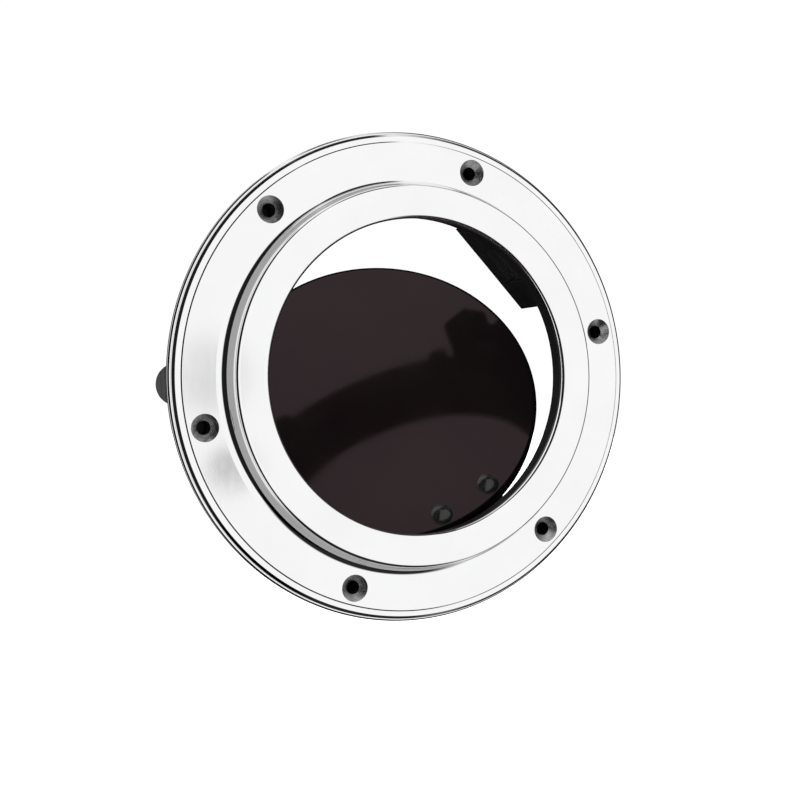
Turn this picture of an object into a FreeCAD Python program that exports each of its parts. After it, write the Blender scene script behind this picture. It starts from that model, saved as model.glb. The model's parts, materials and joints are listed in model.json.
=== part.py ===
"""Round opening deck hatch: steel trim ring, black frame, hinged glass lid and two cam-lever latches.

The hatch stands upright: the outside face looks along -Y and +Z is up. The origin is the centre of the
bolt circle on the rear, seating face of the trim ring. Sub-parts are drawn in their own local axes: local z
points out of the hatch, and local x points radially out through the hinge or latch that the sub-part is in.
"""
import FreeCAD, Part
import Sketcher
import math
import os

V = FreeCAD.Vector
ROOT_PLACEMENT = FreeCAD.Placement(V(0, 0, 0), FreeCAD.Rotation(V(1, 0, 0), 90))

DIMENSIONS = {
    # trim ring: a flat flange with a raised collar round the opening
    "RimRadius": 100.0, "FlangeThick": 6.0, "RimShoulderZ": 3.4, "RimRound": 1.6,
    "RimLandRadius": 97.6, "RimLandZ": 5.1,
    "RimStepRadius": 95.5, "RimStepDeep": 0.4, "RimStepWide": 0.5,
    "CollarTopRadius": 76.4, "CollarTopZ": 16.0, "CoveStartRadius": 82.0, "CoveRadius": 4.5,
    "CoveTurn": 80.0, "CollarTopRound": 1.8,
    "OpeningRadius": 63.3, "OpeningRound": 2.0, "LipBackZ": 12.7, "LipRootRadius": 73.2,
    "TrimBoreRadius": 77.4,
    # bolts that pass through the trim ring, gasket and frame
    "BoltCircleRadius": 88.5, "BoltHoleRadius": 2.75, "BoltSinkRadius": 5.4, "BoltCount": 6,
    "BoltFirstAngle": 13.1,
    # gasket and main frame
    "GasketThick": 1.5, "GasketOuter": 94.6, "GasketInner": 77.8,
    "FrameRearZ": -4.0, "FrameOuter": 94.0, "BossRadius": 5.0, "BossRearZ": -9.0, "BossFloorZ": -7.8,
    "SpigotRootRadius": 76.8, "SpigotTopRadius": 72.8, "SpigotTopZ": 12.5, "FrameBore": 64.6,
    "SeatZ": 4.7, "PocketRadius": 73.0,
    # seal between the lid and the seat
    "SealInner": 69.4, "SealOuter": 71.2, "SealFaceZ": 2.4, "SealRound": 0.7,
    # lid
    "GlassRadius": 71.0, "GlassThick": 8.0, "GlassFrontZ": 2.2, "GlassBevel": 0.9,
    "LidOpenAngle": 35.4, "HingeDirection": -60.0, "HingeRadius": 80.0, "HingeZ": -8.6,
    # hinge
    "KnuckleRadius": 4.4, "ArmHalfWidth": 8.0, "EarInner": 8.2, "EarOuter": 14.0, "HingePinRadius": 2.0,
    "HingePinHalf": 16.0, "PinClearance": 0.05, "ClipRadius": 3.5, "ClipThick": 0.7,
    "ArmPadThick": 1.0, "ArmThick": 3.0, "ArmTipX": 51.0, "ArmRootX": 70.0, "ArmPlateHalf": 19.0,
    "ArmCorner": 5.0, "BasePlateThick": 2.6, "BaseOuterX": 93.0, "BaseScrewX": 88.6, "BaseScrewY": 9.0,
    "BaseScrewRadius": 1.4, "BaseScrewHead": 3.0, "BaseScrewTipZ": -1.9,
    # bolts through the glass
    "LidBoltX": 63.2, "LidBoltY": 12.5, "LidBoltRadius": 2.5, "LidBoltHead": 4.6, "LidBoltDome": 1.9,
    "LidWasherRadius": 4.7, "LidWasherThick": 0.4, "BushRadius": 3.6, "NutWasherRadius": 4.6,
    "NutWasherThick": 0.6, "NutFlats": 8.0, "NutThick": 4.0, "NutDomeRadius": 3.7,
    # latches
    "LatchInnerX": 71.8, "LatchOuterX": 88.0, "LatchHalfWidth": 24.0, "LatchRearZ": -35.0,
    "LatchSlotHalf": 9.5, "LatchFloorZ": -5.8, "LatchCorner": 3.8, "LatchPivotX": 80.0,
    "LatchPivotZ": -19.0, "LatchPinRadius": 2.5, "LatchPinHalf": 23.4, "LeverHalf": 9.1, "LeverHub": 6.5,
    "LeverNoseReach": 13.3, "LeverNoseRadius": 2.5, "LeverNoseAngle": 250.0, "LeverPadRadius": 3.5,
    "LeverPadHalf": 9.3, "LeverGripAngle": -14.4, "LeverGripReach": 20.1, "LeverGripHalf": 8.6,
    "LeverGripThick": 5.0, "RibPitch": 1.6, "RibWide": 0.8, "RibHigh": 0.5, "RibCount": 6,
    "LatchWasherRadius": 5.2, "LatchWasherThick": 0.3, "LatchScrewX": 79.0, "LatchScrewY": 19.0,
    "LatchScrewRadius": 1.75, "LatchScrewHead": 3.2, "LatchScrewTipZ": -13.0, "BoltReliefRadius": 5.4,
    "BoltReliefDepth": 5.5,
}
LATCH_DIRECTIONS = {"latch_a": 43.5, "latch_b": 182.0}

doc = FreeCAD.newDocument("deck_hatch")
sheet = doc.addObject("Spreadsheet::Sheet", "Sizes")
for row, (alias, value) in enumerate(DIMENSIONS.items(), start=1):
    sheet.set("A%d" % row, alias)
    sheet.set("B%d" % row, str(value))
    sheet.setAlias("B%d" % row, alias)
doc.recompute()


def size(alias):
    """The number held in one cell of the sheet."""
    return float(sheet.get(alias))


def bind(obj, **expressions):
    """Bind properties to sheet expressions, written with bare aliases."""
    for prop, text in expressions.items():
        obj.setExpression(prop.replace("__", "."), expand(text))


def expand(text):
    """Put the sheet's name before each alias in an expression."""
    words, word = [], ""
    for letter in text + " ":
        if letter.isalnum():
            word += letter
            continue
        words.append("Sizes." + word if word in DIMENSIONS else word)
        words.append(letter)
        word = ""
    return "".join(words).strip()


def evaluate(text):
    """The value that an expression over the sheet has now."""
    return float(sheet.evalExpression(expand(text)))


def primitive(kind, label, x="0", y="0", z="0", rotation=None, **expressions):
    """A Part primitive whose sizes and position follow the sheet."""
    obj = doc.addObject("Part::" + kind, label)
    obj.Placement = FreeCAD.Placement(V(0, 0, 0), rotation or FreeCAD.Rotation())
    bind(obj, Placement__Base__x=x, Placement__Base__y=y, Placement__Base__z=z, **expressions)
    return obj


def cylinder(label, radius, height, x="0", y="0", z="0"):
    return primitive("Cylinder", label, x, y, z, Radius=radius, Height=height)


def cross_pin(label, radius, half, x, z, start=None):
    """A cylinder along local y, centred on y = 0 or starting at the given y."""
    turn = FreeCAD.Rotation(V(1, 0, 0), -90)
    begin = start or "-(%s)" % half
    length = half if start else "2*(%s)" % half
    return primitive("Cylinder", label, x, begin, z, turn, Radius=radius, Height=length)


def block(label, low, high):
    """A box between two corners given as expressions."""
    spans = ["(%s)-(%s)" % (top, bottom) for bottom, top in zip(low, high)]
    return primitive("Box", label, *low, Length=spans[0], Width=spans[1], Height=spans[2])


def fuse(label, shapes):
    obj = doc.addObject("Part::MultiFuse", label)
    obj.Shapes = shapes
    return obj


def cut(label, base, tools):
    obj = doc.addObject("Part::Cut", label)
    obj.Base = base
    obj.Tool = tools[0] if len(tools) == 1 else fuse(label + "_cutters", tools)
    return obj


def common(label, base, tool):
    obj = doc.addObject("Part::Common", label)
    obj.Base = base
    obj.Tool = tool
    return obj


def group(label, solids):
    """Identical loose solids kept in one sub-part."""
    obj = doc.addObject("Part::Compound", label)
    obj.Links = solids
    return obj


def soften(label, base, radius, wanted, kind="Fillet"):
    """Round or chamfer the edges of base that the test picks out."""
    doc.recompute()
    obj = doc.addObject("Part::" + kind, label)
    obj.Base = base
    value = evaluate(radius)
    picked = [number for number, edge in enumerate(base.Shape.Edges, start=1) if wanted(edge)]
    obj.Edges = [(number, value, value) for number in picked]
    return obj


def plane_of(body, role):
    return [item for item in body.Origin.OriginFeatures if item.Role == role][0]


def ring(label, outline, arcs=()):
    """A body revolved about local z from an outline of (radius, height) expressions.

    arcs names the sides that curve, as {index of the side's first corner: (bulge point, radius)}."""
    body = doc.addObject("PartDesign::Body", label)
    sketch = body.newObject("Sketcher::SketchObject", label + "_section")
    sketch.AttachmentSupport = [(plane_of(body, "XZ_Plane"), "")]
    sketch.MapMode = "FlatFace"
    points = [V(evaluate(radius), evaluate(height), 0) for radius, height in outline]
    arcs = dict(arcs)
    ends = []
    for index, start in enumerate(points):
        stop = points[(index + 1) % len(points)]
        if index in arcs:
            bulge = V(evaluate(arcs[index][0]), evaluate(arcs[index][1]), 0)
            number = sketch.addGeometry(Part.Arc(start, bulge, stop), False)
            forward = sketch.getPoint(number, 1).distanceToPoint(start) < 1e-6
            ends.append((number, 1, 2) if forward else (number, 2, 1))
        else:
            number = sketch.addGeometry(Part.LineSegment(start, stop), False)
            ends.append((number, 1, 2))
    for index, (number, first, last) in enumerate(ends):
        next_number, next_first, next_last = ends[(index + 1) % len(ends)]
        sketch.addConstraint(make_constraint("Coincident", number, last, next_number, next_first))
    for index, (number, first, last) in enumerate(ends):
        for kind, value, text in zip(("DistanceX", "DistanceY"), points[index], outline[index]):
            made = sketch.addConstraint(make_constraint(kind, -1, 1, number, first, value))
            sketch.setExpression("Constraints[%d]" % made, expand(text))
    for index in arcs:
        radius = sketch.Geometry[ends[index][0]].Radius
        made = sketch.addConstraint(make_constraint("Radius", ends[index][0], radius))
        sketch.setExpression("Constraints[%d]" % made, expand(arcs[index][2]))
    turned = body.newObject("PartDesign::Revolution", label + "_turned")
    turned.Profile = sketch
    turned.ReferenceAxis = (sketch, ["V_Axis"])
    turned.Angle = 360.0
    sketch.Visibility = False
    doc.recompute()
    return body


def make_constraint(*values):
    return Sketcher.Constraint(*values)


def circle_at(radius, height, tolerance=0.02):
    """A test for a full circular edge about local z."""
    def wanted(edge):
        curve = edge.Curve
        if not isinstance(curve, Part.Circle):
            return False
        centred = math.hypot(curve.Center.x, curve.Center.y) < tolerance
        return centred and abs(curve.Radius - radius) < tolerance and abs(curve.Center.z - height) < tolerance
    return wanted


def bolt_tools(label, radius, low, high):
    """Cylinders at every hole of the bolt circle."""
    tools = []
    for index in range(int(size("BoltCount"))):
        angle = "(BoltFirstAngle+%d*360/BoltCount)*1deg" % index
        x = "BoltCircleRadius*cos(%s)" % angle
        y = "BoltCircleRadius*sin(%s)" % angle
        tools.append(cylinder("%s_%d" % (label, index + 1), radius, "(%s)-(%s)" % (high, low), x, y, low))
    return tools


def sink_tools(label):
    """Countersink cones at every hole of the bolt circle, open at the flange face."""
    tools = []
    for index in range(int(size("BoltCount"))):
        angle = "(BoltFirstAngle+%d*360/BoltCount)*1deg" % index
        tools.append(primitive(
            "Cone", "%s_%d" % (label, index + 1), "BoltCircleRadius*cos(%s)" % angle,
            "BoltCircleRadius*sin(%s)" % angle, "FlangeThick-BoltSinkRadius+BoltHoleRadius",
            Radius1="BoltHoleRadius", Radius2="BoltSinkRadius+0.4",
            Height="BoltSinkRadius-BoltHoleRadius+0.4"))
    return tools


def at_local(label, direction, tools_at):
    """Turn tools drawn in a hinge's or latch's local axes into the frame's axes."""
    turned = doc.addObject("Part::Compound", label)
    turned.Links = tools_at
    turned.Placement = FreeCAD.Placement(V(0, 0, 0), FreeCAD.Rotation(V(0, 0, 1), direction))
    return turned


finished = []


def finish(obj, label, placement):
    obj.Label = label
    obj.Placement = placement
    finished.append(obj)


def direction_placement(direction):
    return ROOT_PLACEMENT.multiply(FreeCAD.Placement(V(0, 0, 0), FreeCAD.Rotation(V(0, 0, 1), direction)))


def lid_placement():
    """The closed lid turned about the hinge axis to its resting, part-open angle."""
    axis_point = V(size("HingeRadius"), 0, size("HingeZ"))
    swing = FreeCAD.Rotation(V(0, -1, 0), size("LidOpenAngle"))
    turn = FreeCAD.Placement(V(0, 0, 0), swing, axis_point)
    return direction_placement(size("HingeDirection")).multiply(turn)


def cove_point(turn):
    """Radius and height of the hollow at the foot of the collar, after it has turned through an angle."""
    return ("CoveStartRadius-CoveRadius*sin(%s)" % turn,
            "FlangeThick+CoveRadius*(1-cos(%s))" % turn)


def make_trim_ring():
    cove_end = cove_point("CoveTurn*1deg")
    outline = [
        ("RimRadius", "0"), ("RimRadius", "RimShoulderZ"), ("RimLandRadius", "RimLandZ"),
        ("RimStepRadius", "FlangeThick-RimStepDeep"), ("RimStepRadius-RimStepWide", "FlangeThick"),
        ("CoveStartRadius", "FlangeThick"), cove_end, ("CollarTopRadius", "CollarTopZ"),
        ("OpeningRadius", "CollarTopZ"), ("OpeningRadius", "LipBackZ"),
        ("LipRootRadius", "LipBackZ"), ("TrimBoreRadius", "0")]
    body = ring("trim_ring_blank", outline, {5: cove_point("CoveTurn/2*1deg") + ("CoveRadius",)})
    tools = bolt_tools("trim_hole", "BoltHoleRadius", "-1", "FlangeThick+1") + sink_tools("trim_sink")
    drilled = cut("trim_ring_drilled", body, tools)
    top = circle_at(size("CollarTopRadius"), size("CollarTopZ"))
    mouth = circle_at(size("OpeningRadius"), size("CollarTopZ"))
    shoulder = circle_at(size("RimRadius"), size("RimShoulderZ"))
    eased = soften("trim_ring_eased", drilled, "RimRound", shoulder)
    topped = soften("trim_ring_topped", eased, "CollarTopRound", top)
    rounded = soften("trim_ring_part", topped, "OpeningRound", mouth)
    finish(rounded, "trim_ring", ROOT_PLACEMENT)


def make_gasket():
    disc = cylinder("gasket_disc", "GasketOuter", "GasketThick", z="-GasketThick")
    hole = cylinder("gasket_bore", "GasketInner", "GasketThick+2", z="-GasketThick-1")
    tools = bolt_tools("gasket_hole", "BoltHoleRadius", "-GasketThick-1", "1")
    finish(cut("trim_gasket_part", disc, [hole] + tools), "trim_gasket", ROOT_PLACEMENT)


def latch_screw_tools(label):
    """Countersunk clearance holes for the two screws of one latch, in the latch's local axes."""
    tools = []
    for side in ("-", ""):
        place = ("LatchScrewX", side + "LatchScrewY")
        name = "%s_%s" % (label, "left" if side else "right")
        tools.append(cylinder(name, "LatchScrewRadius", "6", place[0], place[1], "FrameRearZ-1"))
        tools.append(primitive(
            "Cone", name + "_sink", place[0], place[1],
            "-GasketThick-LatchScrewHead+LatchScrewRadius", Radius1="LatchScrewRadius",
            Radius2="LatchScrewHead+0.2", Height="LatchScrewHead-LatchScrewRadius+0.2"))
    return tools


def make_main_frame():
    outline = [
        ("FrameOuter", "FrameRearZ"), ("FrameOuter", "-GasketThick"), ("SpigotRootRadius", "-GasketThick"),
        ("SpigotTopRadius", "SpigotTopZ"), ("FrameBore", "SpigotTopZ"), ("FrameBore", "SeatZ"),
        ("PocketRadius", "SeatZ"), ("PocketRadius", "FrameRearZ")]
    body = ring("main_frame_blank", outline)
    bosses = bolt_tools("frame_boss", "BossRadius", "BossRearZ", "FrameRearZ+1")
    body = fuse("main_frame_with_bosses", [body] + bosses)
    tools = bolt_tools("frame_hole", "BoltHoleRadius", "BossFloorZ", "0")
    for name, direction in LATCH_DIRECTIONS.items():
        tools.append(at_local(name + "_frame_holes", direction, latch_screw_tools(name + "_hole")))
    pilots = [cylinder("base_pilot_%d" % index, "BaseScrewRadius", "-(FrameRearZ-0.5)+BaseScrewTipZ",
                       "BaseScrewX", side + "BaseScrewY", "FrameRearZ-0.5")
              for index, side in enumerate(("-", ""))]
    tools.append(at_local("base_pilots", size("HingeDirection"), pilots))
    finish(cut("main_frame_part", body, tools), "main_frame", ROOT_PLACEMENT)


def make_seal():
    outline = [("SealOuter", "SeatZ"), ("SealInner", "SeatZ"), ("SealInner", "SealFaceZ"),
               ("SealOuter", "SealFaceZ")]
    body = ring("lid_seal_blank", outline)
    inner = circle_at(size("SealInner"), size("SealFaceZ"))
    outer = circle_at(size("SealOuter"), size("SealFaceZ"))
    rounded = soften("lid_seal_part", body, "SealRound", lambda edge: inner(edge) or outer(edge))
    finish(rounded, "lid_seal", ROOT_PLACEMENT)


def make_glass():
    disc = cylinder("glass_disc", "GlassRadius", "GlassThick", z="GlassFrontZ-GlassThick")
    front = circle_at(size("GlassRadius"), size("GlassFrontZ"))
    rear = circle_at(size("GlassRadius"), size("GlassFrontZ") - size("GlassThick"))
    bevelled = soften("glass_bevelled", disc, "GlassBevel", lambda edge: front(edge) or rear(edge), "Chamfer")
    tools = [cylinder("glass_hole_%d" % index, "BushRadius", "GlassThick+2", "LidBoltX",
                      side + "LidBoltY", "GlassFrontZ-GlassThick-1") for index, side in enumerate(("-", ""))]
    finish(cut("lid_glass_part", bevelled, tools), "lid_glass", lid_placement())


def arm_outline(label, low, high):
    """The rounded plate that lies behind the glass, as a blank."""
    plate = block(label + "_plate", ("ArmTipX", "-ArmPlateHalf", low), ("ArmRootX", "ArmPlateHalf", high))
    return soften(label + "_rounded", plate, "ArmCorner", upright_edge)


def upright_edge(edge):
    start, stop = edge.Vertexes[0].Point, edge.Vertexes[-1].Point
    return abs(start.z - stop.z) > 1e-3 and math.hypot(start.x - stop.x, start.y - stop.y) < 1e-6


def lid_hole_tools(label, radius, low, high):
    return [cylinder("%s_%d" % (label, index), radius, "(%s)-(%s)" % (high, low), "LidBoltX",
                     side + "LidBoltY", low) for index, side in enumerate(("-", ""))]


GLASS_REAR = "(GlassFrontZ-GlassThick)"
PAD_REAR = "(GlassFrontZ-GlassThick-ArmPadThick)"
ARM_REAR = "(GlassFrontZ-GlassThick-ArmPadThick-ArmThick)"
NUT_FACE = "(GlassFrontZ-GlassThick-ArmPadThick-ArmThick-NutWasherThick)"


def make_hinge_arm():
    plate = arm_outline("arm", ARM_REAR, PAD_REAR)
    neck = block("arm_neck", ("ArmRootX-4", "-ArmHalfWidth", ARM_REAR),
                 ("HingeRadius", "ArmHalfWidth", PAD_REAR))
    knuckle = cross_pin("arm_knuckle", "KnuckleRadius", "ArmHalfWidth", "HingeRadius", "HingeZ")
    bore = cross_pin("arm_bore", "HingePinRadius+PinClearance", "ArmHalfWidth+1", "HingeRadius", "HingeZ")
    holes = lid_hole_tools("arm_hole", "LidBoltRadius+0.1", ARM_REAR + "-1", PAD_REAR + "+1")
    blank = fuse("hinge_arm_blank", [plate, neck, knuckle])
    finish(cut("hinge_arm_part", blank, [bore] + holes), "hinge_arm", lid_placement())
    pad = arm_outline("arm_pad", PAD_REAR, GLASS_REAR)
    holes = lid_hole_tools("arm_pad_hole", "LidBoltRadius+0.1", PAD_REAR + "-1", GLASS_REAR + "+1")
    finish(cut("hinge_arm_pad_part", pad, holes), "hinge_arm_pad", lid_placement())


def make_lid_bolts():
    bolts, washers, bushes, nut_washers, nuts = [], [], [], [], []
    for index, side in enumerate(("-", "")):
        y = side + "LidBoltY"
        head_z = "GlassFrontZ+LidWasherThick"
        ball_radius = "(LidBoltHead^2+LidBoltDome^2)/(2*LidBoltDome)"
        ball = primitive("Sphere", "bolt_ball_%d" % index, "LidBoltX", y,
                         "%s+LidBoltDome-%s" % (head_z, ball_radius), Radius=ball_radius)
        keep = cylinder("bolt_keep_%d" % index, "LidBoltHead+1", "LidBoltDome+1", "LidBoltX", y, head_z)
        dome = common("bolt_dome_%d" % index, ball, keep)
        tip = NUT_FACE + "-NutThick"
        shank = cylinder("bolt_shank_%d" % index, "LidBoltRadius", "(%s)-(%s)+0.5" % (head_z, tip),
                         "LidBoltX", y, tip)
        bolts.append(fuse("lid_bolt_%d" % index, [dome, shank]))
        disc = cylinder("lid_washer_disc_%d" % index, "LidWasherRadius", "LidWasherThick", "LidBoltX", y,
                        "GlassFrontZ")
        hole = cylinder("lid_washer_hole_%d" % index, "LidBoltRadius", "4", "LidBoltX", y, "GlassFrontZ-1")
        washers.append(cut("lid_washer_%d" % index, disc, [hole]))
        sleeve = cylinder("bush_sleeve_%d" % index, "BushRadius", "GlassThick", "LidBoltX", y, GLASS_REAR)
        hole = cylinder("bush_hole_%d" % index, "LidBoltRadius", "GlassThick+2", "LidBoltX", y,
                        GLASS_REAR + "-1")
        bushes.append(cut("bush_%d" % index, sleeve, [hole]))
        disc = cylinder("nut_washer_disc_%d" % index, "NutWasherRadius", "NutWasherThick", "LidBoltX", y,
                        NUT_FACE)
        hole = cylinder("nut_washer_hole_%d" % index, "LidBoltRadius", "4", "LidBoltX", y, NUT_FACE + "-1")
        nut_washers.append(cut("nut_washer_%d" % index, disc, [hole]))
        hexagon = primitive("Prism", "nut_hexagon_%d" % index, "LidBoltX", y, NUT_FACE + "-NutThick",
                            Circumradius="NutFlats/sqrt(3)", Height="NutThick")
        hexagon.Polygon = 6
        cap = primitive("Sphere", "nut_cap_%d" % index, "LidBoltX", y, NUT_FACE + "-NutThick",
                        Radius="NutDomeRadius")
        hole = cylinder("nut_hole_%d" % index, "LidBoltRadius", "NutThick+0.5", "LidBoltX", y,
                        NUT_FACE + "-NutThick")
        nuts.append(cut("nut_%d" % index, fuse("nut_blank_%d" % index, [hexagon, cap]), [hole]))
    for label, solids in (("lid_bolts", bolts), ("lid_bolt_washers", washers), ("lid_glass_bushes", bushes),
                          ("lid_nut_washers", nut_washers), ("lid_cap_nuts", nuts)):
        finish(group(label + "_part", solids), label, lid_placement())


def make_hinge_base():
    place = direction_placement(size("HingeDirection"))
    inner_x = "HingeRadius-KnuckleRadius"
    plate = block("base_plate", (inner_x, "-EarOuter", "FrameRearZ-BasePlateThick"),
                  ("BaseOuterX", "EarOuter", "FrameRearZ"))
    ears = []
    for index, start in enumerate(("EarInner", "-EarOuter")):
        ears.append(cross_pin("base_ear_%d" % index, "KnuckleRadius", "EarOuter-EarInner", "HingeRadius",
                              "HingeZ", start))
        ears.append(block("base_web_%d" % index, (inner_x, start, "HingeZ"),
                          ("HingeRadius+KnuckleRadius", start + "+EarOuter-EarInner", "FrameRearZ")))
    blank = fuse("base_blank", [plate] + ears)
    slot = block("base_slot", (inner_x + "-1", "-EarInner", "-30"),
                 ("HingeRadius+KnuckleRadius+0.6", "EarInner", "FrameRearZ+1"))
    bore = cross_pin("base_bore", "HingePinRadius", "EarOuter+1", "HingeRadius", "HingeZ")
    screws, tools = [], [slot, bore]
    for index, side in enumerate(("-", "")):
        y = side + "BaseScrewY"
        rear = "FrameRearZ-BasePlateThick"
        tools.append(cylinder("base_hole_%d" % index, "BaseScrewRadius", "BasePlateThick+2", "BaseScrewX", y,
                              rear + "-1"))
        head_high = "(BaseScrewHead-BaseScrewRadius)"
        tools.append(primitive("Cone", "base_sink_%d" % index, "BaseScrewX", y, rear,
                               Radius1="BaseScrewHead", Radius2="BaseScrewRadius", Height=head_high))
        head = primitive("Cone", "base_screw_head_%d" % index, "BaseScrewX", y, rear,
                         Radius1="BaseScrewHead", Radius2="BaseScrewRadius", Height=head_high)
        shank = cylinder("base_screw_shank_%d" % index, "BaseScrewRadius", "BaseScrewTipZ-(%s)" % rear,
                         "BaseScrewX", y, rear)
        drive = cylinder("base_screw_drive_%d" % index, "1", "0.9", "BaseScrewX", y, rear + "-0.1")
        whole = fuse("base_screw_blank_%d" % index, [head, shank])
        screws.append(cut("base_screw_%d" % index, whole, [drive]))
    finish(cut("hinge_base_part", blank, tools), "hinge_base", place)
    finish(group("hinge_base_screws_part", screws), "hinge_base_screws", place)
    pin = cross_pin("hinge_pin_part", "HingePinRadius", "HingePinHalf", "HingeRadius", "HingeZ")
    finish_pin(pin, "hinge_pin", place)
    clips = []
    for index, start in enumerate(("EarOuter+0.1", "-EarOuter-0.1-ClipThick")):
        disc = cross_pin("clip_disc_%d" % index, "ClipRadius", "ClipThick", "HingeRadius", "HingeZ", start)
        hole = cross_pin("clip_hole_%d" % index, "HingePinRadius", "HingePinHalf+1", "HingeRadius", "HingeZ")
        gap = block("clip_gap_%d" % index, ("HingeRadius-1.2", "-HingePinHalf", "HingeZ-ClipRadius-1"),
                    ("HingeRadius+1.2", "HingePinHalf", "HingeZ"))
        clips.append(cut("clip_%d" % index, disc, [hole, gap]))
    finish(group("hinge_pin_clips_part", clips), "hinge_pin_clips", place)


def finish_pin(pin, label, place):
    """A pin keeps its bound local place inside a one-member compound that carries the hatch placement."""
    finish(group(label + "_holder", [pin]), label, place)


def toward(angle, reach):
    """Local x and z of a point at an angle and reach from the latch pivot, as expressions."""
    turn = "((%s)*1deg)" % angle
    return ("LatchPivotX+(%s)*cos%s" % (reach, turn), "LatchPivotZ+(%s)*sin%s" % (reach, turn))


def lever_bar(label, angle, start, stop, half_width, thick, lift="0"):
    """A box that points away from the latch pivot at an angle, between two reaches from it."""
    bar = doc.addObject("Part::Box", label)
    bind(bar, Length="(%s)-(%s)" % (stop, start), Width="2*(%s)" % half_width, Height=thick)
    turn = FreeCAD.Rotation(V(0, -1, 0), evaluate(angle))
    offset = V(evaluate(start), -evaluate(half_width), evaluate(lift) - evaluate(thick) / 2)
    pivot = V(size("LatchPivotX"), 0, size("LatchPivotZ"))
    bar.Placement = FreeCAD.Placement(pivot + turn.multVec(offset), turn)
    return bar


def make_lever(name, place):
    hub = cross_pin(name + "_hub", "LeverHub", "LeverHalf", "LatchPivotX", "LatchPivotZ")
    nose_x, nose_z = toward("LeverNoseAngle", "LeverNoseReach")
    tip = cross_pin(name + "_nose_tip", "LeverNoseRadius", "LeverHalf", nose_x, nose_z)
    nose = lever_bar(name + "_nose", "LeverNoseAngle", "0", "LeverNoseReach", "LeverHalf",
                     "2*LeverNoseRadius")
    grip_stop = "LeverGripReach-LeverGripHalf"
    grip = lever_bar(name + "_grip", "LeverGripAngle", "0", grip_stop, "LeverGripHalf", "LeverGripThick")
    turn = FreeCAD.Rotation(V(0, -1, 0), size("LeverGripAngle"))
    pivot = V(size("LatchPivotX"), 0, size("LatchPivotZ"))

    def disc(label, extra):
        """The round end of the grip, as a cylinder across its thickness."""
        end = doc.addObject("Part::Cylinder", label)
        bind(end, Radius="LeverGripHalf", Height="LeverGripThick+2*(%s)" % extra)
        offset = V(evaluate(grip_stop), 0, -size("LeverGripThick") / 2 - evaluate(extra))
        end.Placement = FreeCAD.Placement(pivot + turn.multVec(offset), turn)
        return end

    end = disc(name + "_grip_end", "0")
    ribs = []
    for index in range(int(size("RibCount"))):
        start = "LeverGripReach-1.3-%d*RibPitch" % index
        ribs.append(lever_bar("%s_rib_%d" % (name, index + 1), "LeverGripAngle", start + "-RibWide", start,
                              "LeverGripHalf", "LeverGripThick+2*RibHigh"))
    ribbed = common(name + "_ribs", fuse(name + "_rib_bars", ribs), disc(name + "_rib_limit", "RibHigh"))
    bore = cross_pin(name + "_bore", "LatchPinRadius+PinClearance", "LeverHalf+1", "LatchPivotX",
                     "LatchPivotZ")
    blank = fuse(name + "_blank", [hub, tip, nose, grip, end, ribbed])
    finish(cut(name + "_lever_part", blank, [bore]), name + "_lever", place)
    shell = cross_pin(name + "_pad_shell", "LeverPadRadius", "LeverPadHalf", nose_x, nose_z)
    core = cross_pin(name + "_pad_core", "LeverNoseRadius", "LeverHalf", nose_x, nose_z)
    relief = lever_bar(name + "_pad_relief", "LeverNoseAngle", "0", "LeverNoseReach", "LeverHalf",
                       "2*LeverNoseRadius")
    finish(cut(name + "_pad_part", shell, [core, relief]), name + "_lever_pad", place)


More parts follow.
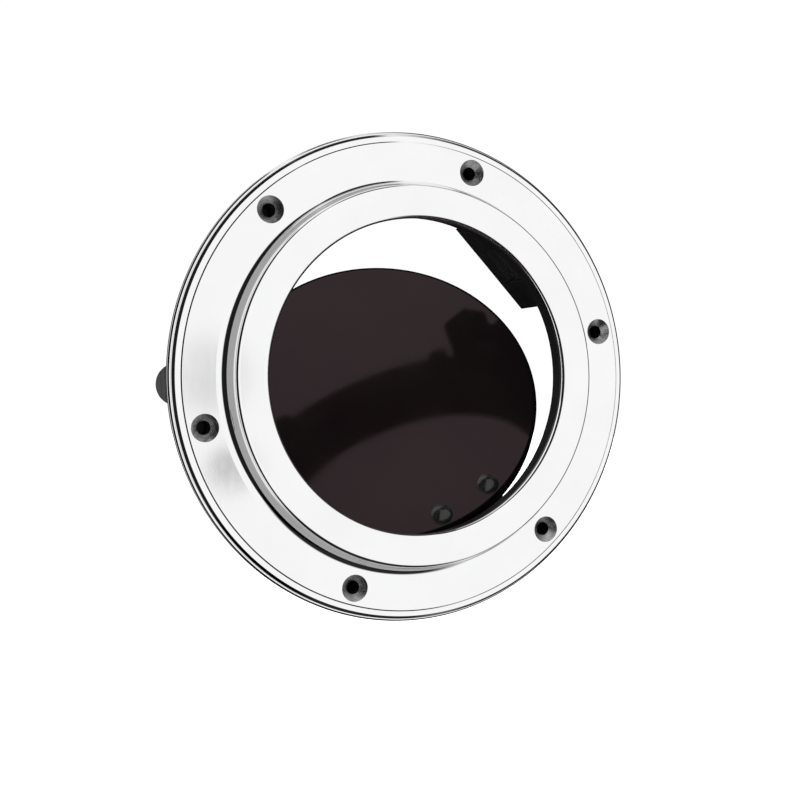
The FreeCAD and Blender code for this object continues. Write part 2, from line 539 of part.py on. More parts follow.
def make_latch(name, direction):
    place = direction_placement(direction)
    body = block(name + "_block", ("LatchInnerX", "-LatchHalfWidth", "LatchRearZ"),
                 ("LatchOuterX", "LatchHalfWidth", "FrameRearZ"))
    rear = size("LatchRearZ")

    def rear_edge(edge):
        return all(abs(vertex.Point.z - rear) < 1e-3 for vertex in edge.Vertexes)

    rounded = soften(name + "_rounded", body, "LatchCorner", rear_edge)
    slot = block(name + "_slot", ("LatchInnerX-1", "-LatchSlotHalf", "LatchRearZ-1"),
                 ("LatchOuterX+1", "LatchSlotHalf", "LatchFloorZ"))
    bore = cross_pin(name + "_pin_bore", "LatchPinRadius", "LatchHalfWidth+1", "LatchPivotX", "LatchPivotZ")
    tools, screws = [slot, bore], []
    for index, side in enumerate(("-", "")):
        y = side + "LatchScrewY"
        tools.append(cylinder("%s_screw_hole_%d" % (name, index), "LatchScrewRadius",
                              "FrameRearZ-LatchScrewTipZ+1", "LatchScrewX", y, "LatchScrewTipZ"))
        head_high = "(LatchScrewHead-LatchScrewRadius)"
        head = primitive("Cone", "%s_screw_head_%d" % (name, index), "LatchScrewX", y,
                         "-GasketThick-" + head_high, Radius1="LatchScrewRadius", Radius2="LatchScrewHead",
                         Height=head_high)
        shank = cylinder("%s_screw_shank_%d" % (name, index), "LatchScrewRadius",
                         "-GasketThick-LatchScrewTipZ", "LatchScrewX", y, "LatchScrewTipZ")
        drive = cylinder("%s_screw_drive_%d" % (name, index), "1.1", "1", "LatchScrewX", y,
                         "-GasketThick-0.9")
        whole = fuse("%s_screw_blank_%d" % (name, index), [head, shank])
        screws.append(cut("%s_screw_%d" % (name, index), whole, [drive]))
    for index in range(int(size("BoltCount"))):
        angle = size("BoltFirstAngle") + 360.0 / size("BoltCount") * index - direction
        across = size("BoltCircleRadius") * math.sin(math.radians(angle))
        if math.cos(math.radians(angle)) > 0 and abs(across) < size("LatchHalfWidth") + 5:
            turn = "(BoltFirstAngle+%d*360/BoltCount-(%r))*1deg" % (index, direction)
            tools.append(cylinder("%s_bolt_relief_%d" % (name, index), "BoltReliefRadius",
                                  "BoltReliefDepth+1", "BoltCircleRadius*cos(%s)" % turn,
                                  "BoltCircleRadius*sin(%s)" % turn, "FrameRearZ-BoltReliefDepth"))
    finish(cut(name + "_housing_part", rounded, tools), name + "_housing", place)
    finish(group(name + "_screws_part", screws), name + "_screws", place)
    pin = cross_pin(name + "_pin_part", "LatchPinRadius", "LatchPinHalf", "LatchPivotX", "LatchPivotZ")
    finish_pin(pin, name + "_pin", place)
    washers = []
    for index, start in enumerate(("LeverHalf+0.05", "-LeverHalf-0.05-LatchWasherThick")):
        disc = cross_pin("%s_washer_disc_%d" % (name, index), "LatchWasherRadius", "LatchWasherThick",
                         "LatchPivotX", "LatchPivotZ", start)
        hole = cross_pin("%s_washer_hole_%d" % (name, index), "LatchPinRadius", "LatchHalfWidth",
                         "LatchPivotX", "LatchPivotZ")
        washers.append(cut("%s_washer_%d" % (name, index), disc, [hole]))
    finish(group(name + "_washers_part", washers), name + "_washers", place)
    make_lever(name, place)


make_trim_ring()
make_gasket()
make_main_frame()
make_seal()
make_glass()
make_hinge_arm()
make_lid_bolts()
make_hinge_base()
for latch_name, latch_direction in LATCH_DIRECTIONS.items():
    make_latch(latch_name, latch_direction)
doc.recompute()

failed = [obj.Name for obj in doc.Objects if "Invalid" in obj.State or "Error" in obj.State]
if failed:
    raise RuntimeError("these objects did not recompute: " + ", ".join(failed))
for obj in finished:
    if obj.Shape.isNull() or not obj.Shape.isValid():
        raise RuntimeError("not a valid shape: " + obj.Label)
os.makedirs("parts", exist_ok=True)
for obj in finished:
    obj.Shape.exportStep("parts/%s.step" % obj.Label)
    print("%-22s %2d solids %10.1f mm3" % (obj.Label, len(obj.Shape.Solids), obj.Shape.Volume))
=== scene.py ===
"""Looks for the round opening deck hatch: polished steel ring, black frame, dark glass lid, studio light.

The CAD frame is in metres: the outside of the hatch looks along -Y, +Z is up, and the origin is the centre
of the bolt circle on the seating face of the trim ring. Sections are drawn as (radius, height), where height
is measured outwards from that face.
"""
import bpy
import bmesh
import json
import math
from mathutils import Matrix, Vector


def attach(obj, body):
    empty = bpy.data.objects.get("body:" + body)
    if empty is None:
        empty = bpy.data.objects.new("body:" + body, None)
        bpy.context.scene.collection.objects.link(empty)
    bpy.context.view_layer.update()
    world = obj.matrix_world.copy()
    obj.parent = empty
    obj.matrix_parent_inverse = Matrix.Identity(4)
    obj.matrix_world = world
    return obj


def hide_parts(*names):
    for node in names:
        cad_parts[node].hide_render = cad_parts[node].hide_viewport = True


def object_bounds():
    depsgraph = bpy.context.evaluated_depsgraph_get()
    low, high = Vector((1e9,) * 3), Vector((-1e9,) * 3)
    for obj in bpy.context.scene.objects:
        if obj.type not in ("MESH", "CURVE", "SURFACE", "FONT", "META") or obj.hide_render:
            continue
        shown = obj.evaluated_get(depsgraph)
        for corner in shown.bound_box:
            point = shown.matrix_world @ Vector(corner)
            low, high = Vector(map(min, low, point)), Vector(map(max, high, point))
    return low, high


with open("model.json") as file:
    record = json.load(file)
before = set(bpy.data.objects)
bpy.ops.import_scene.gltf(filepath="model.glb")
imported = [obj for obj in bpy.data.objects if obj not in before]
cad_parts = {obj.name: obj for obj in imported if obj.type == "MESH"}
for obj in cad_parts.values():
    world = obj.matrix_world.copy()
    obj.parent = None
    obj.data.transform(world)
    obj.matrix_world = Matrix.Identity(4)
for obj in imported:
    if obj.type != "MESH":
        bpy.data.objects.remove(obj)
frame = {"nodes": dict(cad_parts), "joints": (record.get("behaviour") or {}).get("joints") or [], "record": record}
cad_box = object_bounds()
record = frame["record"]
nodes = frame["nodes"]

MM = 0.001
FLANGE_FACE_Y = -0.006
CAMERA_AT = Vector((-0.1852, FLANGE_FACE_Y - 0.4493, -0.0079))
CAMERA_LOOKS = Vector((0.3698, 0.9291, -0.0033))
LENS_MM = 53.7
SENSOR_MM = 36.0
NEAREST_SEEN = 0.01
FLOOR_DROP = 0.30
FLOOR_CLEAR = 0.02
FLOOR_REACH = 6.0
FLOOR_GLOW = 0.6


# ---------------------------------------------------------------- camera, floor and light

def make_camera():
    data = bpy.data.cameras.new("camera")
    data.lens = LENS_MM
    data.sensor_width = SENSOR_MM
    data.clip_start = NEAREST_SEEN
    camera = bpy.data.objects.new("camera", data)
    bpy.context.scene.collection.objects.link(camera)
    camera.location = CAMERA_AT
    camera.rotation_euler = CAMERA_LOOKS.to_track_quat("-Z", "Y").to_euler()
    bpy.context.scene.camera = camera
    bpy.context.scene.view_settings.view_transform = "Standard"


def make_floor():
    """A plain pale floor well below the hatch, which is shown upright as it is mounted.

    It starts just behind the hatch and is left out of reflections, so the steel mirrors only the studio."""
    mesh = bpy.data.meshes.new("floor")
    drop = cad_box[0][2] - FLOOR_DROP
    near = cad_box[1][1] + FLOOR_CLEAR
    corners = [(-FLOOR_REACH, near, drop), (FLOOR_REACH, near, drop),
               (FLOOR_REACH, 2 * FLOOR_REACH, drop), (-FLOOR_REACH, 2 * FLOOR_REACH, drop)]
    mesh.from_pydata(corners, [], [(0, 1, 2, 3)])
    floor = bpy.data.objects.new("floor", mesh)
    bpy.context.scene.collection.objects.link(floor)
    floor.visible_glossy = False
    paint = simple_material("floor_paint", (1.0, 1.0, 1.0), 0.9)
    shader = paint.node_tree.nodes["Principled BSDF"]
    shader.inputs["Emission Color"].default_value = (1.0, 1.0, 1.0, 1.0)
    shader.inputs["Emission Strength"].default_value = FLOOR_GLOW
    floor.data.materials.append(paint)


def direction(azimuth, elevation):
    """The unit vector towards an azimuth (0 is straight out of the hatch, + to its right) and elevation."""
    turn, rise = math.radians(azimuth), math.radians(elevation)
    return Vector((math.sin(turn) * math.cos(rise), -math.cos(turn) * math.cos(rise), math.sin(rise)))


# The studio is white all round, with shades that only polished surfaces mirror. One is a tall dark opening
# beside the camera, between two azimuths and below a rise in degrees, each with its soft edges. The others
# are round: azimuth, elevation, half angle where the shade starts, half angle where it is full, light left.
STUDIO_BRIGHTNESS = 1.04
OPENING_AZIMUTHS = (-102.0, -34.0)
OPENING_FADES = (5.0, 13.0)
OPENING_RISE = 83.0
OPENING_RISE_FADES = (-8.0, 6.0)
OPENING_LEFT = 0.012
STUDIO_SPOTS = (
    (140.0, 0.0, 80.0, 58.0, 0.03),     # the dim far wall behind the hatch
    (-20.0, -78.0, 44.0, 30.0, 0.02),   # the dark floor in front of it
    (30.0, 85.0, 17.0, 12.0, 0.02),     # a shade overhead
    (13.6, -3.5, 1.5, 0.3, 0.60),       # two grey stands
    (12.6, 1.0, 2.4, 0.4, 0.76),
)

# A ray that meets the world after one mirror has this depth. A deeper one always sees some light.
DEPTH_AFTER_ONE_MIRROR = 2
TWICE_MIRRORED_LEFT = 0.42


class Studio:
    """The world's nodes: every shade multiplies the light that is left."""

    def __init__(self):
        world = bpy.data.worlds.new("studio")
        bpy.context.scene.world = world
        world.use_nodes = True
        self.tree = world.node_tree
        self.tree.nodes.clear()
        self.look = self.tree.nodes.new("ShaderNodeTexCoord").outputs["Generated"]
        self.light = None

    def math(self, operation, first, second=0.0):
        made = self.tree.nodes.new("ShaderNodeMath")
        made.operation = operation
        for socket, value in zip(made.inputs, (first, second)):
            if hasattr(value, "is_linked"):
                self.tree.links.new(value, socket)
            else:
                socket.default_value = value
        return made.outputs["Value"]

    def ramp(self, value, start, stop, low, high):
        made = self.tree.nodes.new("ShaderNodeMapRange")
        made.interpolation_type = "SMOOTHSTEP"
        self.tree.links.new(value, made.inputs["Value"])
        for socket, number in zip(("From Min", "From Max", "To Min", "To Max"), (start, stop, low, high)):
            made.inputs[socket].default_value = number
        return made.outputs["Result"]

    def shade(self, left):
        """Multiply the light by the part that is left."""
        self.light = left if self.light is None else self.math("MULTIPLY", self.light, left)

    def spot(self, azimuth, elevation, edge, core, left):
        """A round shade."""
        towards = self.tree.nodes.new("ShaderNodeVectorMath")
        towards.operation = "DOT_PRODUCT"
        towards.inputs[1].default_value = direction(azimuth, elevation)
        self.tree.links.new(self.look, towards.inputs[0])
        edge, core = math.cos(math.radians(edge)), math.cos(math.radians(core))
        self.shade(self.ramp(towards.outputs["Value"], edge, core, 1.0, left))

    def opening(self):
        """The tall dark opening."""
        parts = self.tree.nodes.new("ShaderNodeSeparateXYZ")
        self.tree.links.new(self.look, parts.inputs["Vector"])
        ahead = self.math("MULTIPLY", parts.outputs["Y"], -1.0)
        azimuth = self.math("ARCTAN2", parts.outputs["X"], ahead)
        left, right, sharp, soft = map(math.radians, OPENING_AZIMUTHS + OPENING_FADES)
        inside = self.math("MULTIPLY", self.ramp(azimuth, left, left + sharp, 0.0, 1.0),
                           self.ramp(azimuth, right - soft, right, 1.0, 0.0))
        rise = self.math("ABSOLUTE", parts.outputs["Z"])
        low, high = (math.sin(math.radians(OPENING_RISE + fade)) for fade in OPENING_RISE_FADES)
        inside = self.math("MULTIPLY", inside, self.ramp(rise, low, high, 1.0, 0.0))
        self.shade(self.ramp(inside, 0.0, 1.0, 1.0, OPENING_LEFT))

    def connect(self):
        """Shade what is mirrored once, and less what is mirrored twice. The camera sees white past the
        hatch, and matt surfaces are lit from all round."""
        path = self.tree.nodes.new("ShaderNodeLightPath")
        seen = self.math("MAXIMUM", path.outputs["Is Camera Ray"], path.outputs["Is Diffuse Ray"])
        twice = self.math("GREATER_THAN", path.outputs["Ray Depth"], DEPTH_AFTER_ONE_MIRROR + 0.5)
        seen = self.math("MAXIMUM", seen, self.math("MULTIPLY", twice, TWICE_MIRRORED_LEFT))
        background = self.tree.nodes.new("ShaderNodeBackground")
        background.inputs["Strength"].default_value = STUDIO_BRIGHTNESS
        self.tree.links.new(self.math("MAXIMUM", self.light, seen), background.inputs["Color"])
        out = self.tree.nodes.new("ShaderNodeOutputWorld")
        self.tree.links.new(background.outputs["Background"], out.inputs["Surface"])


def make_light():
    studio = Studio()
    studio.opening()
    for spot in STUDIO_SPOTS:
        studio.spot(*spot)
    studio.connect()


# ---------------------------------------------------------------- materials

def simple_material(name, colour, roughness):
    material = bpy.data.materials.new(name)
    material.use_nodes = True
    shader = material.node_tree.nodes["Principled BSDF"]
    shader.inputs["Base Color"].default_value = (*colour, 1.0)
    shader.inputs["Roughness"].default_value = roughness
    return material


class Paint:
    """A Principled material that grows a few procedural layers over object coordinates."""

    def __init__(self, name, **values):
        self.material = bpy.data.materials.new(name)
        self.material.use_nodes = True
        self.tree = self.material.node_tree
        self.shader = self.tree.nodes["Principled BSDF"]
        for socket, value in values.items():
            self.shader.inputs[socket.replace("_", " ")].default_value = value
        self.place = self.tree.nodes.new("ShaderNodeTexCoord").outputs["Object"]
        self.height = None

    def node(self, kind, **inputs):
        made = self.tree.nodes.new("ShaderNode" + kind)
        for socket, value in inputs.items():
            self.feed(made.inputs[socket.replace("_", " ")], value)
        return made

    def feed(self, socket, value):
        if hasattr(value, "is_linked"):
            self.tree.links.new(value, socket)
        else:
            socket.default_value = value

    def noise(self, scale, detail=3.0, roughness=0.55, stretch=None):
        """Noise with features about 1 / scale metres across, optionally stretched along the axes."""
        place = self.place
        if stretch:
            place = self.node("Mapping", Vector=place, Scale=stretch).outputs["Vector"]
        made = self.node("TexNoise", Vector=place, Scale=scale, Detail=detail, Roughness=roughness)
        return made.outputs["Fac"]

    def mapped(self, value, low, high, start=0.3, stop=0.7):
        made = self.node("MapRange", Value=value, From_Min=start, From_Max=stop, To_Min=low, To_Max=high)
        return made.outputs["Result"]

    def vector(self, operation, first, second=None, output="Vector"):
        made = self.tree.nodes.new("ShaderNodeVectorMath")
        made.operation = operation
        self.feed(made.inputs[0], first)
        if second is not None:
            self.feed(made.inputs[1], second)
        return made.outputs[output]

    def mix(self, value, dark, light):
        """A colour between dark and light, each a colour or another colour's socket."""
        made = self.tree.nodes.new("ShaderNodeMix")
        made.data_type = "RGBA"
        self.feed(made.inputs["Factor"], value)
        colour_inputs = [socket for socket in made.inputs if socket.type == "RGBA"]
        for socket, colour in zip(colour_inputs, (dark, light)):
            self.feed(socket, colour if hasattr(colour, "is_linked") else (*colour, 1.0))
        return [socket for socket in made.outputs if socket.type == "RGBA"][0]

    def add_scaled(self, value, scale, base):
        """The socket of value * scale + base."""
        made = self.tree.nodes.new("ShaderNodeMath")
        made.operation = "MULTIPLY_ADD"
        for socket, part in zip(made.inputs, (value, scale, base)):
            self.feed(socket, part)
        return made.outputs["Value"]

    def colours(self, value, dark, light):
        self.tree.links.new(self.mix(value, dark, light), self.shader.inputs["Base Color"])

    def roughness(self, value):
        self.tree.links.new(value, self.shader.inputs["Roughness"])

    def bump(self, value, depth):
        """Add a height layer, depth metres from low to high."""
        made = self.node("Bump", Height=value, Distance=depth, Strength=1.0)
        if self.height is not None:
            self.tree.links.new(self.height, made.inputs["Normal"])
        self.height = made.outputs["Normal"]
        self.tree.links.new(self.height, self.shader.inputs["Normal"])


def ring_radius(paint):
    """The socket of the distance from the hatch's axis, which is along Y."""
    return paint.vector("LENGTH", paint.vector("MULTIPLY", paint.place, (1.0, 0.0, 1.0)), None, "Value")


def make_polished_steel():
    """Mirror-polished stainless steel: faint smears, hair scratches and lathe lines under the polish."""
    paint = Paint("polished_steel", Metallic=1.0, IOR=2.5)
    smear = paint.noise(38.0, 4.0, 0.6)
    fine = paint.noise(900.0, 2.0, 0.5, (1.0, 1.0, 0.12))
    worn = paint.add_scaled(fine, 0.35, smear)
    paint.colours(paint.mapped(smear, 0.0, 1.0), (0.87, 0.87, 0.875), (0.905, 0.905, 0.905))
    paint.roughness(paint.mapped(worn, 0.035, 0.11, 0.45, 0.95))
    lines = paint.node("TexNoise", Scale=2600.0, Detail=1.0)
    lines.noise_dimensions = "1D"
    paint.tree.links.new(ring_radius(paint), lines.inputs["W"])
    paint.bump(lines.outputs["Fac"], 0.0000012)
    paint.bump(paint.noise(16.0, 1.0, 0.3), 0.00006)
    return paint.material


def make_machined_steel_painted_shade():
    """The countersinks' steel: the drill's dull finish with fine turning marks, and a painted shade that makes it
    darker, as the recesses look in shade.
    """
    paint = Paint("machined_steel_painted_shade", Metallic=1.0)
    smear = paint.noise(400.0, 3.0, 0.6)
    # Dark colours: painted shade in the countersink recesses, over the real dull drilled finish.
    paint.colours(paint.mapped(smear, 0.0, 1.0), (0.26, 0.26, 0.265), (0.50, 0.50, 0.50))
    paint.roughness(paint.mapped(smear, 0.20, 0.32))
    paint.bump(paint.noise(500.0, 2.0, 0.5, (1.0, 14.0, 1.0)), 0.00005)
    return paint.material


def make_moulded_black(name, colour=(0.0070, 0.0070, 0.0075), gloss=0.40, shine=0.22, grain=1400.0,
                       depth=0.00003):
    """Black glass-filled plastic with a spark-eroded grain and rubbed patches."""
    paint = Paint(name, IOR=1.5, Specular_IOR_Level=shine)
    rub = paint.noise(55.0, 4.0, 0.6)
    grain_height = paint.noise(grain, 3.0, 0.6)
    lighter = tuple(1.9 * part for part in colour)
    paint.colours(paint.mapped(rub, 0.0, 1.0, 0.35, 0.75), colour, lighter)
    paint.roughness(paint.mapped(rub, gloss + 0.10, gloss - 0.06))
    paint.bump(grain_height, depth)
    return paint.material


def make_gloss_black():
    """Black chrome on the domed bolt heads, bright only where it mirrors the light."""
    paint = Paint("black_bolt", Metallic=0.35, IOR=1.5, Specular_IOR_Level=0.6)
    smear = paint.noise(500.0, 3.0, 0.6)
    paint.colours(paint.mapped(smear, 0.0, 1.0), (0.016, 0.015, 0.015), (0.030, 0.029, 0.028))
    paint.roughness(paint.mapped(smear, 0.14, 0.26))
    paint.bump(paint.noise(1500.0, 2.0), 0.000004)
    return paint.material


def make_rubber():
    """Matt black rubber with a dusty bloom."""
    paint = Paint("black_rubber", IOR=1.45, Specular_IOR_Level=0.25)
    bloom = paint.noise(120.0, 5.0, 0.65)
    dust = paint.mapped(bloom, 0.0, 1.0, 0.4, 0.75)
    paint.colours(dust, (0.005, 0.005, 0.005), (0.014, 0.014, 0.0135))
    paint.roughness(paint.mapped(bloom, 0.62, 0.85))
    paint.bump(paint.noise(2200.0, 2.0, 0.5), 0.00004)
    return paint.material


def make_dark_glass():
    """Deep smoke glass that only shows its surface, with the faint waviness of tempering."""
    paint = Paint("dark_glass", IOR=1.5, Specular_IOR_Level=0.26, Specular_Tint=(1.0, 0.72, 0.78, 1.0))
    tint = paint.mapped(paint.noise(22.0, 2.0, 0.5), 0.0, 1.0)
    paint.colours(tint, (0.0085, 0.0052, 0.0060), (0.0120, 0.0085, 0.0085))
    paint.roughness(paint.mapped(paint.noise(60.0, 4.0, 0.6), 0.06, 0.11))
    paint.bump(paint.noise(9.0, 1.0, 0.4), 0.00008)
    return paint.material


def make_ground_edge_painted_dark():
    """The ground edge of the glass, painted near black: a painted dark reflection on the bevel."""
    paint = Paint("ground_edge_painted_dark", IOR=1.45, Specular_IOR_Level=0.05)
    grain = paint.noise(2600.0, 3.0, 0.6)
    # Near black with almost no specular: a painted dark reflection in place of the bevel's bright one.
    paint.colours(paint.mapped(grain, 0.0, 1.0), (0.0015, 0.0015, 0.0016), (0.004, 0.004, 0.004))
    paint.roughness(paint.mapped(grain, 0.7, 0.9))
    paint.bump(grain, 0.00003)
    return paint.material


def make_nylon():
    paint = Paint("natural_nylon", IOR=1.53, Subsurface_Weight=0.1)
    paint.colours(paint.mapped(paint.noise(160.0), 0.0, 1.0), (0.62, 0.59, 0.50), (0.74, 0.72, 0.64))
    paint.roughness(paint.mapped(paint.noise(300.0), 0.38, 0.55))
    paint.bump(paint.noise(1500.0, 2.0), 0.00002)
    return paint.material


def make_turned_steel():
    """Plain turned stainless steel for pins, nuts and screws."""
    paint = Paint("turned_steel", Metallic=1.0)
    smear = paint.noise(140.0, 4.0, 0.6)
    paint.colours(paint.mapped(smear, 0.0, 1.0), (0.50, 0.50, 0.51), (0.66, 0.66, 0.66))
    paint.roughness(paint.mapped(smear, 0.20, 0.38))
    paint.bump(paint.noise(700.0, 2.0, 0.5, (1.0, 6.0, 1.0)), 0.00002)
    return paint.material


def make_powder_coat():
    """Black powder coat with its slight orange peel."""
    paint = Paint("black_powder_coat", IOR=1.5, Coat_Weight=0.25, Coat_Roughness=0.2)
    patches = paint.mapped(paint.noise(90.0, 4.0), 0.0, 1.0)
    paint.colours(patches, (0.010, 0.010, 0.010), (0.022, 0.022, 0.022))
    paint.roughness(paint.mapped(paint.noise(200.0, 3.0), 0.34, 0.5))
    paint.bump(paint.noise(800.0, 2.0, 0.4), 0.00003)
    return paint.material


SLOT_MATERIALS = {
    "polished_steel": make_polished_steel(),
    "black_rubber": make_rubber(),
    "black_plastic": make_moulded_black("black_plastic"),
    "black_lever": make_moulded_black("black_lever", colour=(0.0120, 0.0120, 0.0120), gloss=0.24, shine=0.75,
                                      grain=1800.0, depth=0.00001),
    "dark_glass": make_dark_glass(),
    "black_coated_steel": make_powder_coat(),
    "black_bolt": make_gloss_black(),
    "nylon": make_nylon(),
    "plain_steel": make_turned_steel(),
}


def dress_nodes():
    """Give every CAD node the finished material of its slot in the record."""
    for part in record["subparts"]:
        shown = nodes[part["node"]]
        for holder in shown.material_slots:
            holder.material = SLOT_MATERIALS[part["material_slot"]]


# ---------------------------------------------------------------- turned shapes

# Faces this square to the hatch's axis are shaded flat, and edges sharper than this are shaded sharp.
FLAT_COSINE = 0.99999
SHARP_DEGREES = 30.0


def rounded_section(corners, step_degrees=5.0, guard=0.12):
    """A closed section from (radius, height, rounding) corners in millimetres.

    Each rounding becomes an arc, and each straight side gets a guard point just inside both its ends, so
    that smooth shading stays flat on the flats."""
    points = []
    count = len(corners)
    for index, (radius, height, rounding) in enumerate(corners):
        corner = Vector((radius, height))
        back = (Vector(corners[index - 1][:2]) - corner).normalized()
        ahead = (Vector(corners[(index + 1) % count][:2]) - corner).normalized()
        opening = back.angle(ahead)
        reach = rounding / math.tan(opening / 2)
        start, stop = corner + back * reach, corner + ahead * reach
        centre = corner + (back + ahead).normalized() * (rounding / math.sin(opening / 2))
        points.append(start + back * guard)
        sweep = math.pi - opening
        steps = max(2, round(math.degrees(sweep) / step_degrees))
        first = start - centre
        sign = 1.0 if first.x * (stop - centre).y - first.y * (stop - centre).x > 0 else -1.0
        for step in range(steps + 1):
            turn = Matrix.Rotation(sign * sweep * step / steps, 2)
            points.append(centre + turn @ first)
        points.append(stop + ahead * guard)
    return points


def lathe(name, section, segments=360):
    """A closed ring turned about the hatch's axis from a section in millimetres."""
    shape = bmesh.new()
    loops = []
    for index in range(segments):
        turn = 2 * math.pi * index / segments
        loops.append([shape.verts.new((MM * point.x * math.cos(turn), -MM * point.y,
                                       MM * point.x * math.sin(turn))) for point in section])
    for index in range(segments):
        here, there = loops[index], loops[(index + 1) % segments]
        for side in range(len(section)):
            after = (side + 1) % len(section)
            shape.faces.new((here[side], here[after], there[after], there[side]))
    bmesh.ops.recalc_face_normals(shape, faces=shape.faces)
    return object_from(name, shape)


def object_from(name, shape):
    """A scene object from a bmesh, which is used up."""
    mesh = bpy.data.meshes.new(name)
    shape.to_mesh(mesh)
    shape.free()
    made = bpy.data.objects.new(name, mesh)
    bpy.context.scene.collection.objects.link(made)
    finish_shading(made)
    return made


def finish_shading(made):
    """Smooth round the curves, flat on the flats that face along the hatch's axis."""
    for face in made.data.polygons:
        face.use_smooth = abs(face.normal.y) < FLAT_COSINE
    made.data.set_sharp_from_angle(angle=math.radians(SHARP_DEGREES))


def subtract(base, cutters):
    """Cut every cutter out of base for good, and delete the cutters."""
    for cutter in cutters:
        modifier = base.modifiers.new("cut", "BOOLEAN")
        modifier.operation = "DIFFERENCE"
        modifier.solver = "EXACT"
        modifier.object = cutter
    depsgraph = bpy.context.evaluated_depsgraph_get()
    result = bpy.data.meshes.new_from_object(base.evaluated_get(depsgraph))
    base.modifiers.clear()
    base.data = result
    for cutter in cutters:
        bpy.data.objects.remove(cutter)
    close_gaps(base)
    finish_shading(base)


def close_gaps(made):
    """Fill any sliver of wall that a cut left open."""
    shape = bmesh.new()
    shape.from_mesh(made.data)
    open_edges = [edge for edge in shape.edges if edge.is_boundary]
    bmesh.ops.holes_fill(shape, edges=open_edges, sides=0)
    bmesh.ops.recalc_face_normals(shape, faces=shape.faces)
    shape.to_mesh(made.data)
    shape.free()


def stand_for(piece, node):
    """The piece takes over a CAD node: its body, its slot and its finish."""
    part = [entry for entry in record["subparts"] if entry["node"] == node][0]
    body = [name for name, members in record["behaviour"]["bodies"].items() if node in members][0]
    piece.data.materials.clear()
    piece.data.materials.append(SLOT_MATERIALS[part["material_slot"]])
    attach(piece, body)
    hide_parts(node)


BOLTS = [mount for mount in record["mounts"] if mount["name"] == "trim_bolts"][0]["dims"]
BOLT_FIRST_ANGLE = 13.1


def bolt_centres():
    """(x, z) of each hole of the bolt circle in millimetres."""
    for index in range(int(BOLTS["count"])):
        turn = math.radians(BOLT_FIRST_ANGLE + 360.0 / BOLTS["count"] * index)
        yield BOLTS["pcd_mm"] / 2 * math.cos(turn), BOLTS["pcd_mm"] / 2 * math.sin(turn)


# The sinks' mouth and its hair of chamfer, and how far a cutter runs past the seating face and the flange.
SINK_RADIUS = 5.4
SINK_EASE = 0.12
CUT_BELOW = 3.0
CUT_ABOVE = 2.0


def turned_solid(name, x, z, profile, sides=72):
    """A closed solid turned about a line along Y through (x, z) from (radius, height) millimetres."""
    shape = bmesh.new()
    rings = []
    for radius, height in profile:
        turns = [2 * math.pi * index / sides for index in range(sides)]
        rings.append([shape.verts.new((MM * (x + radius * math.cos(turn)), -MM * height,
                                       MM * (z + radius * math.sin(turn)))) for turn in turns])
    for lower, upper in zip(rings, rings[1:]):
        for index in range(sides):
            after = (index + 1) % sides
            shape.faces.new((lower[index], lower[after], upper[after], upper[index]))
    shape.faces.new(rings[0])
    shape.faces.new(rings[-1])
    bmesh.ops.recalc_face_normals(shape, faces=shape.faces)
    return object_from(name, shape)


def countersink_cutter(name, x, z, face):
    """The shape of one countersunk hole, with a hair of chamfer at its mouth."""
    hole = BOLTS["hole_r_mm"]
    return turned_solid(name, x, z, (
        (hole, -CUT_BELOW), (hole, face - SINK_RADIUS + hole), (SINK_RADIUS - SINK_EASE, face - SINK_EASE),
        (SINK_RADIUS + SINK_EASE, face + SINK_EASE / 2), (SINK_RADIUS + SINK_EASE, face + CUT_ABOVE)))


def paint_faces(piece, material, chosen):
    """Put a second material on the faces that chosen picks by their middle, in millimetres."""
    piece.data.materials.append(material)
    for face in piece.data.polygons:
        if chosen(face.center / MM):
            face.material_index = 1


# The trim ring's section in millimetres, each corner with its rounding: the seating foot, the rim with its
# two bevels and the narrow ledge between them, the shallow land and its small step, the flange, the cove,
# the collar and the lip.
COLLAR_TOP = 16.0
LIP_BACK = 12.7
DRILLED_FROM = 0.02
RING_SECTION = (
    (100.0, 0.0, 0.25), (100.0, 2.1, 0.5), (99.3, 2.85, 0.2), (98.85, 2.9, 0.08), (98.75, 4.05, 0.3),
    (97.6, 5.1, 0.5), (95.5, 5.6, 0.15), (95.0, 6.0, 0.15),
    (78.26, 6.0, 4.5), (76.4, COLLAR_TOP, 1.8), (63.3, COLLAR_TOP, 2.0), (63.3, LIP_BACK, 0.25),
    (73.2, LIP_BACK, 0.3), (77.4, 0.0, 0.3))


def make_trim_ring():
    """The polished ring, turned in one piece, with its countersunk holes in the drill's dull finish and a darker
    colour that is painted shade in the recesses.
    """
    flange = -FLANGE_FACE_Y / MM
    ring = lathe("trim_ring_polished", rounded_section(RING_SECTION))
    cutters = [countersink_cutter("sink_%d" % index, x, z, flange)
               for index, (x, z) in enumerate(bolt_centres())]
    subtract(ring, cutters)
    stand_for(ring, "trim_ring")

    def drilled(at):
        near = any(math.hypot(at.x - x, at.z - z) < SINK_RADIUS for x, z in bolt_centres())
        return near and DRILLED_FROM < -at.y < flange - DRILLED_FROM

    # The countersinks get darker steel: partly their rougher drilled finish, partly painted shade in the recesses.
    paint_faces(ring, make_machined_steel_painted_shade(), drilled)
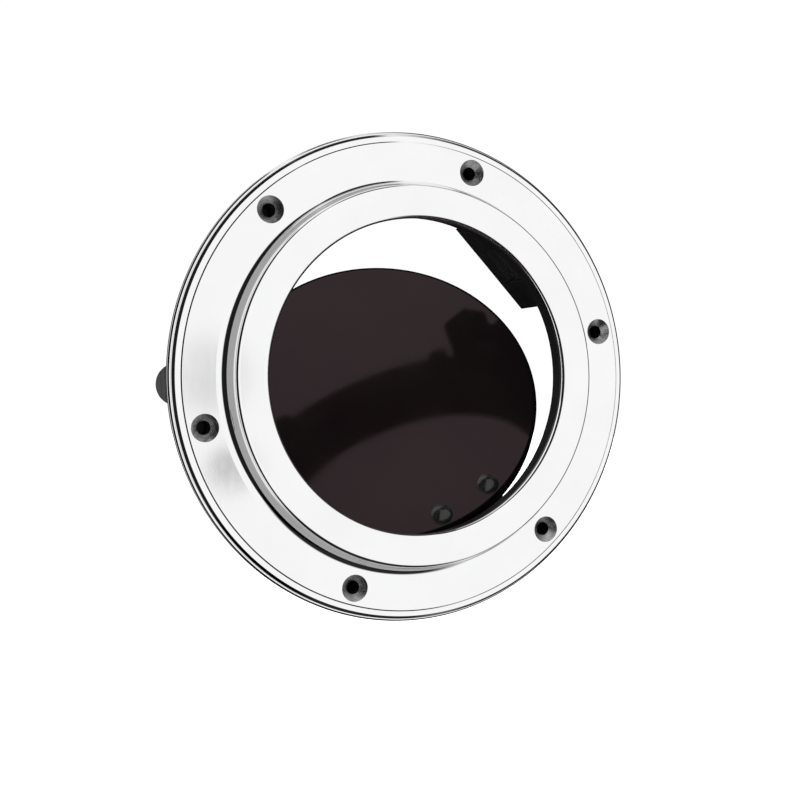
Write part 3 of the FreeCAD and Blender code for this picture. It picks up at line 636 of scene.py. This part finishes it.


# The lid's glass in the closed hatch, in millimetres: a black line, painted as a dark reflection, runs round its
# front just inside the bevel, and it has holes for its two bolts. The hinge line is square to the way that the
# bolts lie.
GLASS_RADIUS = 71.0
GLASS_BEVEL = 0.9
GLASS_PAINTED_DARK_LINE = 0.7
GLASS_FRONT = 2.2
GLASS_REAR = -5.8
LID_BOLTS_OUT = 63.2
LID_BOLTS_ASIDE = 12.5
LID_BUSH_RADIUS = 3.6
GLASS_CORNER = 0.2
HOLE_SPARE = 1.0
GLASS_SIDES = 360


def make_glass():
    """The glass disc with bevelled edges painted black as a dark reflection, turned closed and then swung open on
    its hinge.
    """
    hinge = [joint for joint in frame["joints"] if joint["name"] == "lid_hinge"][0]
    pivot, axis = Vector(hinge["pos_m"]), Vector(hinge["axis"]).normalized()
    shoulder = GLASS_RADIUS - GLASS_BEVEL
    section = rounded_section((
        (shoulder, GLASS_REAR, GLASS_CORNER), (GLASS_RADIUS, GLASS_REAR + GLASS_BEVEL, GLASS_CORNER),
        (GLASS_RADIUS, GLASS_FRONT - GLASS_BEVEL, GLASS_CORNER), (shoulder, GLASS_FRONT, GLASS_CORNER),
        (0.0, GLASS_FRONT, 0.0), (0.0, GLASS_REAR, 0.0)))
    edge = [point for point in section if point.x > GLASS_RADIUS / 2]
    edge.append(Vector((shoulder - GLASS_PAINTED_DARK_LINE, GLASS_FRONT)))
    glass = turned_solid("lid_glass_disc", 0.0, 0.0, edge, GLASS_SIDES)
    outwards = Vector((pivot.x, 0.0, pivot.z)).normalized()
    cutters = []
    for side in (-1, 1):
        at = LID_BOLTS_OUT * outwards + side * LID_BOLTS_ASIDE * axis
        cutters.append(turned_solid("glass_hole", at.x, at.z, (
            (LID_BUSH_RADIUS, GLASS_REAR - HOLE_SPARE), (LID_BUSH_RADIUS, GLASS_FRONT + HOLE_SPARE))))
    subtract(glass, cutters)
    stand_for(glass, "lid_glass")
    # The bevel and a thin band inside it are painted black: a painted dark reflection.
    paint_faces(glass, make_ground_edge_painted_dark(), lambda at: math.hypot(at.x, at.z) > shoulder - GLASS_PAINTED_DARK_LINE)
    swing = Matrix.Rotation(math.radians(-hinge["range_deg"][0]), 4, axis)
    glass.data.transform(Matrix.Translation(pivot) @ swing @ Matrix.Translation(-pivot))


# ---------------------------------------------------------------- the scene

make_camera()
make_floor()
make_light()
dress_nodes()
make_trim_ring()
make_glass()
